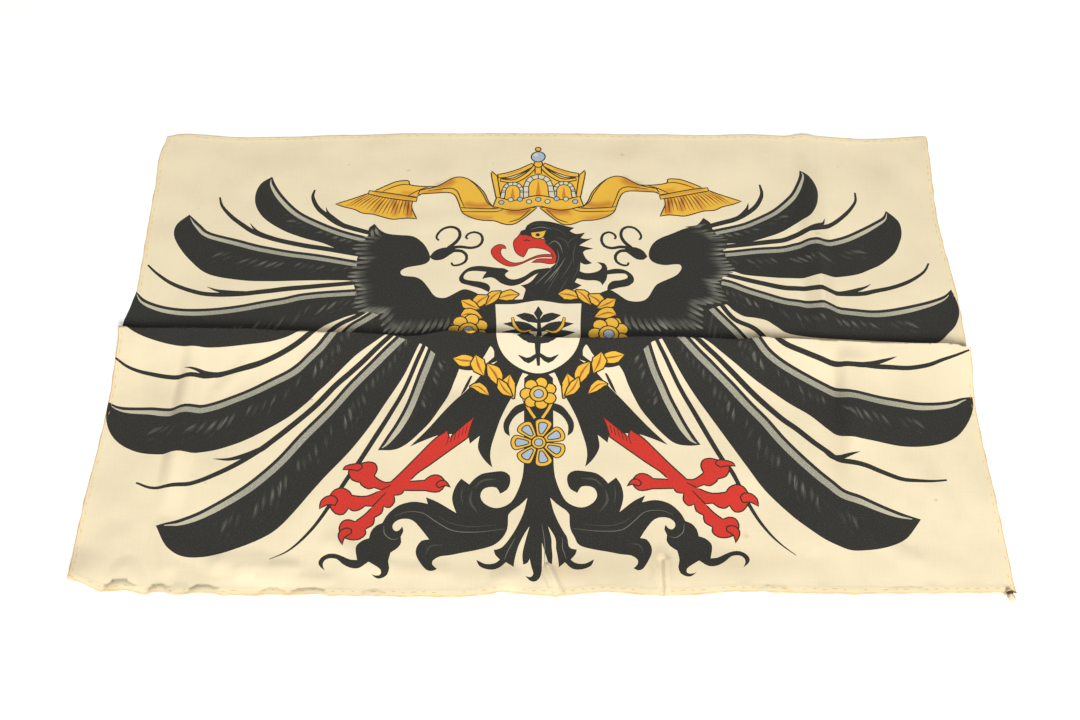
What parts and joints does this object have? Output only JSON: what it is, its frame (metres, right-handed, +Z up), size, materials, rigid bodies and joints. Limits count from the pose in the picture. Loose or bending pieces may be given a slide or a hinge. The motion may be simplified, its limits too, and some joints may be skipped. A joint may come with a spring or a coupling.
{
  "type": "hemmed silk flag laid out flat",
  "caption": "Thin oblong cloth flag with a narrow hem, spread out flat, with old storage folds, a curled corner and a knotted thread end.",
  "frame": {"origin": "on the surface that the flag lies on, under the middle of its bounding box", "axes": "+X along the flag's length, +Y from its lower hem to its upper hem, +Z up, out of the printed face"},
  "size_m": [0.602, 0.3964, 0.0109],
  "materials": {
    "printed_silk": "plain-woven silk, yellowed, printed in black, grey, red and gold",
    "hem_thread": "twisted sewing thread, soiled"
  },
  "bodies": {
    "root": {"flag_cloth": "printed_silk", "corner_knot": "hem_thread"}
  },
  "joints": []
}
